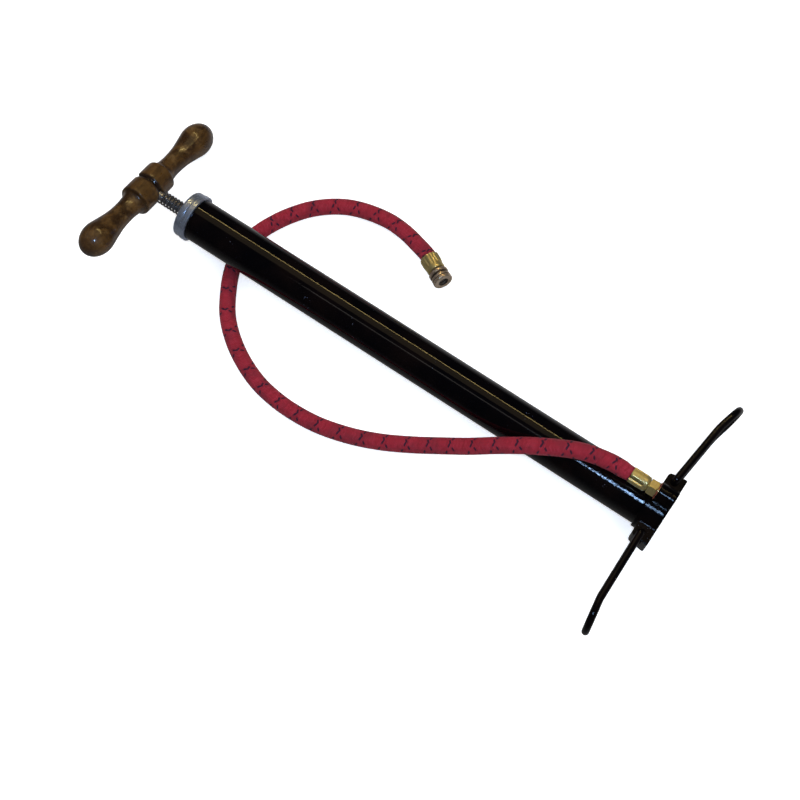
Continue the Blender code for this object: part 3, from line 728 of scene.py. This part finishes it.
def make_base(pump):
    """The casting: its round socket, lug bar, boss and web blended by a remesh, then drilled."""
    outlet = outlet_matrix(pump)
    base = cast_cylinder("BaseCasting", SOCKET_HEIGHT, BASE_EDGE_RADIUS, 0.0007, pump, 128)
    boss = cast_cylinder("boss", BOSS_TOP, BOSS_RADIUS, 0.0006, outlet, 96)
    combined(base, joined=[boss, make_web(pump), make_lug_bar(pump)])
    remesh = base.modifiers.new("remesh", "REMESH")
    remesh.mode = "VOXEL"
    remesh.voxel_size = 0.0005
    blend = base.modifiers.new("blend", "SMOOTH")
    blend.factor = 0.5
    blend.iterations = 8
    applied(base)
    through = 0.04  # beyond the casting
    cuts = [
        plug("recess", SOCKET_FLOOR, through, BARREL_RADIUS + GAP, pump, 128),
        plug("bore", BOSS_FLOOR, through, BOSS_BORE_RADIUS, outlet, 48),
        plug("face", BOSS_TOP - 0.0002, 0.018, BOSS_RADIUS - GAP, outlet),
    ]
    for _, _, side, station, *_ in FEET.values():
        pivot = pump @ Matrix.Translation((station, side * FOOT_PIVOT_REACH, 0))
        upright = pivot @ Matrix.Rotation(math.pi / 2, 4, "Y")
        cuts.append(plug("hole", -0.02, 0.02, WIRE_RADIUS + GAP, upright, 48))
    return combined(base, cut=cuts)


def cast_cylinder(name, height, radius, top_rounding, matrix, sides):
    corners = [(0, 0, 0), (0, radius, 0.0008), (height, radius, top_rounding), (height, 0, 0)]
    return turned(name, filleted(corners), matrix, sides)


def make_web(pump):
    """The block between the socket and the boss."""
    low = Vector((0.0008, BOSS_Y - WEB_HALF_WIDTH, 0.010))
    high = Vector((BASE_HEIGHT - 0.002, BOSS_Y + WEB_HALF_WIDTH, BOSS_Z))
    outline = [(low.y, low.z), (high.y, low.z), (high.y, high.z), (low.y, high.z)]
    return extruded("web", [[(x, y, z) for y, z in outline] for x in (low.x, high.x)], pump)


def extruded(name, ends, matrix):
    """A solid between two outlines of as many points each."""
    count = len(ends[0])
    faces = [tuple(range(count)), tuple(range(count, 2 * count))]
    faces += [(k, (k + 1) % count, count + (k + 1) % count, count + k) for k in range(count)]
    return mesh_object(name, ends[0] + ends[1], faces, matrix)


def make_lug_bar(pump):
    """The bar across the base: drafted ends with a rounded upper corner."""
    corners = [(0.0, 0.0, 0), (0.0, LUG_REACH_BOTTOM, 0.0008), (BASE_HEIGHT, LUG_REACH_TOP, 0.003)]
    middle, *edge, _ = filleted([*corners, (BASE_HEIGHT, 0.0, 0)])
    outline = [middle, *edge, *((station, -reach) for station, reach in reversed(edge))]
    ends = [[(x, y, z) for x, y in outline] for z in (-LUG_HALF_THICKNESS, LUG_HALF_THICKNESS)]
    return extruded("lug_bar", ends, pump)


def make_cap(pump):
    """Stepped cap: a skirt round the barrel, a groove, and a smaller rim closed by the end plate."""
    inside, plate, bush_hole, vent_reach = BARREL_RADIUS + GAP, BARREL_TOP + GAP, 0.0063, 0.0125
    outline = filleted(
        [
            (CAP_BOTTOM, inside, 0),
            (CAP_BOTTOM, CAP_SKIRT_RADIUS, 0.0007),
            (CAP_STEP - 0.0007, CAP_SKIRT_RADIUS, 0.0005),
            (CAP_STEP - 0.0001, CAP_RIM_RADIUS - 0.0005, 0.0003),
            (CAP_STEP + 0.0007, CAP_RIM_RADIUS, 0.0004),
            (CAP_TOP, CAP_RIM_RADIUS, 0.0022),
            (CAP_TOP, bush_hole, 0.0003),
            (plate, bush_hole, 0),
            (plate, inside, 0),
        ]
    )
    cap = turned("TopCap", outline, pump, 160)
    beside = pump @ Matrix.Translation((0, vent_reach, 0))
    return combined(cap, cut=[plug("vent", plate - 0.002, CAP_TOP + 0.0048, VENT_RADIUS, beside, 32)])


def make_rod(pump):
    """The rod, plain as far as the handle and threaded above it."""
    thread_start, pitch, depth = HANDLE_STATION + 0.002, 0.00125, 0.00055
    step, chamfer = 0.00012, 0.0005
    outline = filleted([(ROD_BOTTOM, 0, 0), (ROD_BOTTOM, ROD_RADIUS, 0.0004), (thread_start, ROD_RADIUS, 0)])
    count = round((ROD_TOP - chamfer - thread_start) / step)
    outline += [(thread_start + step * k, ROD_RADIUS) for k in range(1, count + 1)]
    outline += [(ROD_TOP, ROD_RADIUS - 0.0006), (ROD_TOP, 0)]

    def radius(station, r, angle):
        if station < thread_start + 0.0001 or r < ROD_RADIUS:
            return r
        turn = (station / pitch - angle / (2 * math.pi)) % 1.0
        return r - depth * abs(2 * turn - 1)

    return turned("PistonRod", outline, pump, 64, radius)


def make_spring(pump):
    """The short spring outside the cap that the handle lands on."""
    bottom = CAP_TOP + GAP + SPRING_WIRE_RADIUS
    top = HANDLE_STATION - COLLAR_RADIUS - GAP - SPRING_WIRE_RADIUS
    count = SPRING_TURNS * 40
    line = []
    for k in range(count + 1):
        angle = 2 * math.pi * SPRING_TURNS * k / count
        across, up = SPRING_MEAN_RADIUS * math.cos(angle), SPRING_MEAN_RADIUS * math.sin(angle)
        line.append(Vector((bottom + (top - bottom) * k / count, across, up)))
    return tube("BufferSpring", line, lambda around, along: SPRING_WIRE_RADIUS, 16, pump)


def handle_outline():
    """(distance from the middle, radius) of the whole handle: groove, collar, slim necks and knobs."""
    collar = [(0.0, 0.0126), (0.0007, 0.0128), (0.0016, 0.0136), (0.0024, 0.0142), (0.0034, COLLAR_RADIUS)]
    collar += [(0.0060, COLLAR_RADIUS), (0.0120, COLLAR_RADIUS), (0.0174, COLLAR_RADIUS)]
    shoulder = [(0.0184, 0.01432), (0.0190, 0.0140), (0.0194, 0.0133), (0.0198, 0.0122), (0.0206, 0.0114)]
    neck = [(0.0222, 0.0108), (0.0240, 0.0103), (0.0270, 0.0098), (0.0300, 0.0095), (0.0330, 0.0094)]
    neck += [(0.0360, 0.0094), (0.0390, 0.0095), (0.0420, 0.0096), (0.0450, 0.0099), (0.0480, 0.0102)]
    swell = [(0.0510, 0.0107), (0.0540, 0.0113), (0.0570, 0.0119), (0.0600, 0.0125), (0.0630, 0.01315)]
    swell += [(0.0660, 0.0138), (0.0685, 0.0142)]
    knob = []
    for k in range(28):
        angle = math.pi / 2 * k / 28
        out = KNOB_PLACE + (HANDLE_HALF - KNOB_PLACE) * math.sin(angle)
        knob.append((out, KNOB_RADIUS * math.cos(angle)))
    half = collar + shoulder + neck + swell + knob + [(HANDLE_HALF, 0.0)]
    return [(-out, radius) for out, radius in reversed(half[1:])] + half


def make_handle(pump):
    handle = turned("Handle", handle_outline(), handle_matrix(pump), 128)
    bottom, top = HANDLE_STATION - 0.03, HANDLE_STATION + 0.03
    hole = plug("hole", bottom, top, ROD_RADIUS + GAP, pump)
    sink = plug("sink", HANDLE_STATION + HANDLE_SINK_FLOOR, top, HANDLE_SINK_RADIUS, pump)
    return combined(handle, cut=[hole, sink])


def nut_outline(bottom, top, bore, across_flats):
    """The section of a hexagon nut with both ends chamfered; its corners reach the hexagon's."""
    corner, face = across_flats / math.sqrt(3), across_flats / 2 * 0.95
    chamfer, steps, edge = 0.0006, 6, 0.0003
    outline = [(bottom, bore + edge), (bottom, face)]
    for k in range(1, steps + 1):
        outline.append((bottom + chamfer * k / steps, face + (corner - face) * k / steps))
    outline += [(bottom + top - station, reach) for station, reach in reversed(outline)]
    return outline + [(top - edge, bore), (bottom + edge, bore)]


def hexagonal(name, outline, across_flats, corner, matrix):
    """Turns an outline, and cuts it back to a hexagon wherever it is wider."""
    reach = hexagon(across_flats, corner)
    return turned(name, outline, matrix, 144, lambda station, r, angle: min(r, reach(angle)), corner)


def make_handle_fixings(pump):
    bore, washer_bottom, washer_height = ROD_RADIUS + GAP, HANDLE_STATION + HANDLE_SINK_FLOOR + GAP, 0.001
    nut_bottom, nut_height, nut_corner = washer_bottom + washer_height + GAP, 0.0042, 0.0065
    section = ring(washer_bottom, washer_bottom + washer_height, bore, 0.0072, 0.0002)
    washer = turned("HandleWasher", section, pump, 96)
    across = nut_corner * math.sqrt(3)
    outline = nut_outline(nut_bottom, nut_bottom + nut_height, bore, across)
    return washer, hexagonal("HandleNut", outline, across, 0.0, pump)


def foot_points(side, toe, twist):
    """The loop's centre line from one pin, out along a leg, round the end and back. X runs outwards."""
    spread = LUG_HALF_THICKNESS + GAP + WIRE_RADIUS
    bend = spread - LUG_HALF_THICKNESS
    softness = 0.006  # how far before and after the kink the wire starts to bend
    leg = [Vector((0, 0, z)) for z in (FOOT_PIN_END, LUG_HALF_THICKNESS - 0.001, LUG_HALF_THICKNESS)]
    for k in range(1, 13):
        angle = math.pi / 2 * k / 12
        leg.append(Vector((bend - bend * math.cos(angle), 0, LUG_HALF_THICKNESS + bend * math.sin(angle))))
    leg += [Vector((bend + (FOOT_LEG - softness - bend) * k / 12, 0, spread)) for k in range(1, 13)]
    kink = Matrix.Rotation(side * FOOT_KINK, 4, "Z")
    bent = Matrix.Translation((FOOT_LEG, 0, 0)) @ kink @ Matrix.Rotation(twist, 4, "X")
    end = []
    for k in range(33):
        angle = math.pi * k / 32
        end.append(bent @ Vector((toe + spread * math.sin(angle), 0, spread * math.cos(angle))))
    near = curved(leg[-1], Vector((FOOT_LEG, 0, spread)), bent @ Vector((softness, 0, spread)))
    other_leg = [Vector((p.x, p.y, -p.z)) for p in reversed(leg)]
    far = curved(bent @ Vector((softness, 0, -spread)), Vector((FOOT_LEG, 0, -spread)), other_leg[0])
    return leg + near[1:] + end + far + other_leg[1:]


def curved(start, corner, stop, steps=8):
    """A soft bend from start to stop, pulled towards the corner."""
    shares = [k / steps for k in range(steps + 1)]
    return [start * (1 - t) ** 2 + corner * (2 * t * (1 - t)) + stop * t**2 for t in shares]


def make_foot(pump, name, side, station, toe, lean, twist):
    """One wire loop on its pivot, turned out to its stop."""
    out = Matrix.Rotation(side * (math.pi / 2 + lean), 4, "Z")
    matrix = pump @ Matrix.Translation((station, side * FOOT_PIVOT_REACH, 0)) @ out
    return tube(name, foot_points(side, toe, twist), lambda around, along: WIRE_RADIUS, 40, matrix)


def make_union(outlet):
    """The hexagon union: its spigot in the boss, the hexagon, and the tail inside the ferrule."""
    spigot, bore, tail_top = BOSS_BORE_RADIUS - GAP, 0.0011, OUTLET_FERRULE_TOP - 0.0008
    body = nut_outline(HEX_BOTTOM, HEX_TOP, spigot, HEX_ACROSS_FLATS)[1:-3]  # without its bore
    outline = [(UNION_BOTTOM, bore), (UNION_BOTTOM, spigot), (HEX_BOTTOM, spigot), *body]
    outline += [(HEX_TOP, TAIL_RADIUS), (tail_top, TAIL_RADIUS), (tail_top, bore)]
    return hexagonal("OutletUnion", outline, HEX_ACROSS_FLATS, HEX_CORNER, outlet)


def make_outlet_ferrule(outlet):
    """The crimped ferrule, with a round-ended channel pressed into it on each of four sides."""
    start, top, outside = HEX_TOP + GAP, OUTLET_FERRULE_TOP, OUTLET_FERRULE_RADIUS
    inside, hole, end_wall = outside - OUTLET_FERRULE_WALL, TAIL_RADIUS + GAP, 0.0015
    corners = [(start, hole, 0), (start, outside - 0.0012, 0.0004), (start + 0.0012, outside, 0.0005)]
    foot = filleted([*corners, (top, outside, 0), (top, inside, 0)])[:-2]
    first, count = foot[-1][0], 110
    body = [(first + (top - first) * k / count, outside) for k in range(1, count + 1)]
    back = [(top, inside), (start + end_wall, inside), (start + end_wall, hole)]

    def radius(station, r, angle):
        if r < outside - 0.0001:
            return r
        turn = (angle - CHANNEL_TURN) % (math.pi / 2) - math.pi / 4
        lengthways = min(station - start - CHANNEL_START, 0.0)
        inset = CHANNEL_HALF_WIDTH - math.hypot(turn * outside, lengthways)
        lip = CHANNEL_LIP * bump_between(inset, -0.0008, 0.0002, 0.0006)
        return r + lip - CHANNEL_DEPTH * bump_between(inset, 0.0005, 1.0, 0.0008)

    return turned("OutletFerrule", foot + body + back, outlet, 288, radius)


def make_end_ferrule(connector):
    """The fluted crimp ferrule at the hose's free end, narrowing to the neck."""
    outside, top, wall = END_FERRULE_RADIUS, END_FERRULE_LENGTH, END_FERRULE_CLOSED
    inside, neck_hole = outside - END_FERRULE_WALL, NECK_RADIUS + GAP
    chamfer, count = 0.0003, 44
    body = [(0.0, inside), (0.0, outside - chamfer)]
    body += [(chamfer + (wall - 0.0008) * k / count, outside) for k in range(count + 1)]
    end = filleted(
        [
            (wall - 0.001, outside, 0),
            (top - 0.0002, outside - 0.0004, 0.0005),
            (top, outside - 0.0028, 0.0005),
            (top, neck_hole, 0),
            (wall, neck_hole, 0),
            (wall, inside, 0),
        ]
    )

    def radius(station, r, angle):
        if r < outside - 0.0008:
            return r
        valley = 0.5 - 0.5 * math.cos(END_FLUTES * angle)
        depth = END_FLUTE_DEPTH * bump_between(station, -0.002, wall - 0.0035, 0.003)
        taper = END_FERRULE_TAPER * bump_between(station, wall - 0.006, 0.1, 0.006)
        return r - depth * valley**2 - taper

    return turned("EndFerrule", body + end[1:], connector, 208, radius)


def make_connector(connector):
    """Hose tail with its neck and flange, the swivel nut and the seal in its mouth."""
    bore, shoulder = 0.0012, END_FERRULE_CLOSED - GAP
    flange_start = SWIVEL_BACK + GAP
    flange_end = flange_start + 0.0012
    section = [
        (0.0006, bore, 0),
        (0.0006, TAIL_RADIUS, 0.0003),
        (shoulder, TAIL_RADIUS, 0),
        (shoulder, NECK_RADIUS, 0),
        (flange_start, NECK_RADIUS, 0),
        (flange_start, FLANGE_RADIUS, 0.0002),
        (flange_end, FLANGE_RADIUS, 0.0002),
        (flange_end, bore, 0.0002),
    ]
    tail = turned("EndTail", filleted(section), connector, 64)
    swivel = turned("SwivelNut", swivel_outline(), connector, 160)
    seal_start = flange_end + GAP
    section = ring(seal_start, seal_start + 0.0018, bore, FLANGE_RADIUS, 0.0003)
    return tail, swivel, turned("NozzleSeal", section, connector, 64)


def swivel_outline():
    """Thin back flange, groove, band, wide front ring, and a threaded bore."""
    corners = [
        (SWIVEL_START, NECK_RADIUS + GAP, 0),
        (SWIVEL_START, SWIVEL_RADIUS, 0.0008),
        (0.0199, SWIVEL_RADIUS, 0.0005),
        (0.0205, SWIVEL_RADIUS - 0.0015, 0.0003),
        (0.0216, SWIVEL_RADIUS - 0.0015, 0.0003),
        (0.0222, SWIVEL_RADIUS - 0.0002, 0.0003),
        (0.0246, SWIVEL_RADIUS - 0.0001, 0.0003),
        (0.0249, SWIVEL_RADIUS - 0.0005, 0.0001),
        (0.0252, SWIVEL_RADIUS, 0.0002),
        (SWIVEL_END, SWIVEL_RADIUS, 0.0010),
        (SWIVEL_END, SWIVEL_BORE_RADIUS, 0.0006),
    ]
    outline = filleted(corners)
    threads, depth, low, high = 6, 0.0004, SWIVEL_BACK + 0.0028, SWIVEL_END - 0.0010
    for k in range(2 * threads + 1):
        station = high + (low - high) * k / (2 * threads)
        outline.append((station, SWIVEL_BORE_RADIUS + depth * (k % 2)))
    return outline + [(SWIVEL_BACK, SWIVEL_BORE_RADIUS), (SWIVEL_BACK, NECK_RADIUS + GAP)]


def make_barrel(pump):
    inner = BARREL_RADIUS - BARREL_WALL
    return turned("Barrel", ring(BARREL_BOTTOM, BARREL_TOP, inner, BARREL_RADIUS, 0.0003), pump, 256)


def make_guide(pump):
    """The flanged bush that the rod runs in."""
    bore, body, flange, flange_bottom, bottom = ROD_RADIUS + GAP, 0.0060, 0.0090, BARREL_TOP - 0.0016, 0.4785
    corners = [
        (CAP_TOP, bore, 0.0003),
        (CAP_TOP, body, 0.0003),
        (BARREL_TOP, body, 0),
        (BARREL_TOP, flange, 0),
        (flange_bottom, flange, 0),
        (flange_bottom, body, 0),
        (bottom, body, 0.0003),
        (bottom, bore, 0),
    ]
    return turned("RodGuideBush", filleted(corners), pump, 96)


def make_fibre_washer(outlet):
    """The washer under the union's hexagon."""
    section = ring(BOSS_TOP + GAP, HEX_BOTTOM - GAP, BOSS_BORE_RADIUS + GAP, 0.0079, 0.0002)
    return turned("FibreWasher", section, outlet, 96)


def dress_hidden_nodes(nodes, looks):
    """Pieces inside the pump keep their CAD shape and get their material."""
    finishes = {
        "leather": ("barrel_gasket", "upstroke_buffer", "cup_leather"),
        "rod_steel": ("piston_nut", "cup_spreader", "backing_plate", "piston_locknut", "valve_ball"),
        "brass": ("valve_seat",),
        "spring_steel": ("valve_spring",),
    }
    for look, names in finishes.items():
        for name in names:
            for material_slot in nodes[name].material_slots:
                material_slot.material = looks[look]


def make_pieces(nodes):
    looks = make_looks()
    pump, connector = pump_matrix(), connector_matrix()
    outlet = outlet_matrix(pump)
    hose, exit_point, length, line = make_hose(pump, connector)
    place(hose, "root", "braided_hose", looks, "hose")
    ferrule = place(make_end_ferrule(connector), "root", "brass", looks, "end_ferrule")
    tail, swivel, seal = make_connector(connector)
    place(tail, "root", "brass", looks, "end_tail")
    place(swivel, "swivel", "worn_brass", looks, "swivel_nut", slot="brass")
    place(seal, "swivel", "black_rubber", looks, "nozzle_seal")
    place(make_base(pump), "root", "cast_base", looks, "base_casting")
    place(make_barrel(pump), "root", "black_enamel", looks, "barrel")
    place(make_cap(pump), "root", "plated_steel", looks, "top_cap")
    place(make_guide(pump), "root", "brass", looks, "rod_guide_bush")
    place(make_rod(pump), "rod_and_handle", "rod_steel", looks, "piston_rod")
    place(make_spring(pump), "carriage", "spring_steel", looks, "buffer_spring")
    place(make_handle(pump), "rod_and_handle", "varnished_wood", looks, "handle")
    washer, nut = make_handle_fixings(pump)
    place(washer, "rod_and_handle", "plated_steel", looks, "handle_washer")
    place(nut, "rod_and_handle", "plated_steel", looks, "handle_nut")
    for node, (name, body, *shape) in FEET.items():
        place(make_foot(pump, name, *shape), body, "black_enamel", looks, node)
    place(make_fibre_washer(outlet), "root", "fibre", looks, "fibre_washer")
    place(make_union(outlet), "root", "brass", looks, "outlet_union")
    place(make_outlet_ferrule(outlet), "root", "brass", looks, "outlet_ferrule")
    dress_hidden_nodes(nodes, looks)


# ---------------------------------------------------------------- studio


def make_floor():
    size = 6.0
    corners = [(-size, -size, 0), (size, -size, 0), (size, size, 0), (-size, size, 0)]
    floor = mesh_object("Floor", corners, [(0, 1, 2, 3)], Matrix.Translation((0, 0, -0.0002)))
    look = Look("floor", Specular_IOR_Level=0.1, Emission_Color=(1.0, 1.0, 1.0, 1.0))
    tone = look.noise(3, 2)
    shade = look.mix(tone, FLOOR_COLOUR, tuple(0.985 * c for c in FLOOR_COLOUR))
    seen_directly = look.add("LightPath").outputs["Is Camera Ray"]
    look.tree.links.new(look.times(seen_directly, FLOOR_GLOW), look.shader.inputs["Emission Strength"])
    floor.data.materials.append(look.finish(shade, look.between(tone, 0, 1, 0.85, 0.95), tone, 0.00001))
    floor.visible_glossy = False


def make_lights():
    """Soft boxes off the barrel's ends light the scene; strips and a flash above draw its highlights."""
    for name, (spot, (width, depth), radiance, colour, in_gloss) in LIGHTS.items():
        data = bpy.data.lights.new(name, "AREA")
        data.shape = "RECTANGLE"
        data.size = width
        data.size_y = depth
        data.color = colour
        data.energy = radiance * math.pi * width * depth
        back = (Vector(spot) - LIGHT_TARGET).normalized()
        across = Vector((0, 1, 0)).cross(back).normalized()
        turn = Matrix((across, back.cross(across), back)).transposed().to_4x4()
        light = linked(name, data, Matrix.Translation(spot) @ turn)
        light.visible_glossy = in_gloss
        light.visible_camera = False


def make_world():
    """A dark room above; below the horizon, the dim glow of the sheet that the pump lies on."""
    world = bpy.data.worlds.new("studio")
    world.use_nodes = True
    tree = world.node_tree
    direction = tree.nodes.new("ShaderNodeTexCoord").outputs["Generated"]
    parts = tree.nodes.new("ShaderNodeSeparateXYZ")
    tree.links.new(direction, parts.inputs[0])
    colour = None
    steps = (
        ("Y", -0.8, 0.3, *GROUND_GLOW),
        ("Z", -0.94, -0.72, SHADED_GLOW, None),
        ("Z", -0.60, 0.02, None, SKY),
    )
    for axis, low, high, first, second in steps:  # None stands for the colour so far
        share = tree.nodes.new("ShaderNodeMapRange")
        share.inputs["From Min"].default_value = low
        share.inputs["From Max"].default_value = high
        tree.links.new(parts.outputs[axis], share.inputs["Value"])
        mix = tree.nodes.new("ShaderNodeMix")
        mix.data_type = "RGBA"
        tree.links.new(share.outputs["Result"], mix.inputs[0])
        for value, socket in ((first, mix.inputs[6]), (second, mix.inputs[7])):
            if value:
                socket.default_value = (*value, 1.0)
            else:
                tree.links.new(colour, socket)
        colour = mix.outputs[2]
    tree.links.new(colour, tree.nodes["Background"].inputs["Color"])
    bpy.context.scene.world = world


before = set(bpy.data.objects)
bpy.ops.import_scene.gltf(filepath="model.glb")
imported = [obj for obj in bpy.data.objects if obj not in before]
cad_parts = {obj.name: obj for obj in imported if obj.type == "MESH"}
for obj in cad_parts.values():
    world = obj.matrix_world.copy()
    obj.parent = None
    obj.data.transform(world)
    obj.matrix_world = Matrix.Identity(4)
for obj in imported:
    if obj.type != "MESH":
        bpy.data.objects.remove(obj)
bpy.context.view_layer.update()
make_camera()
make_pieces(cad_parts)
make_floor()
make_lights()
make_world()
bpy.context.scene.view_settings.view_transform = "Standard"
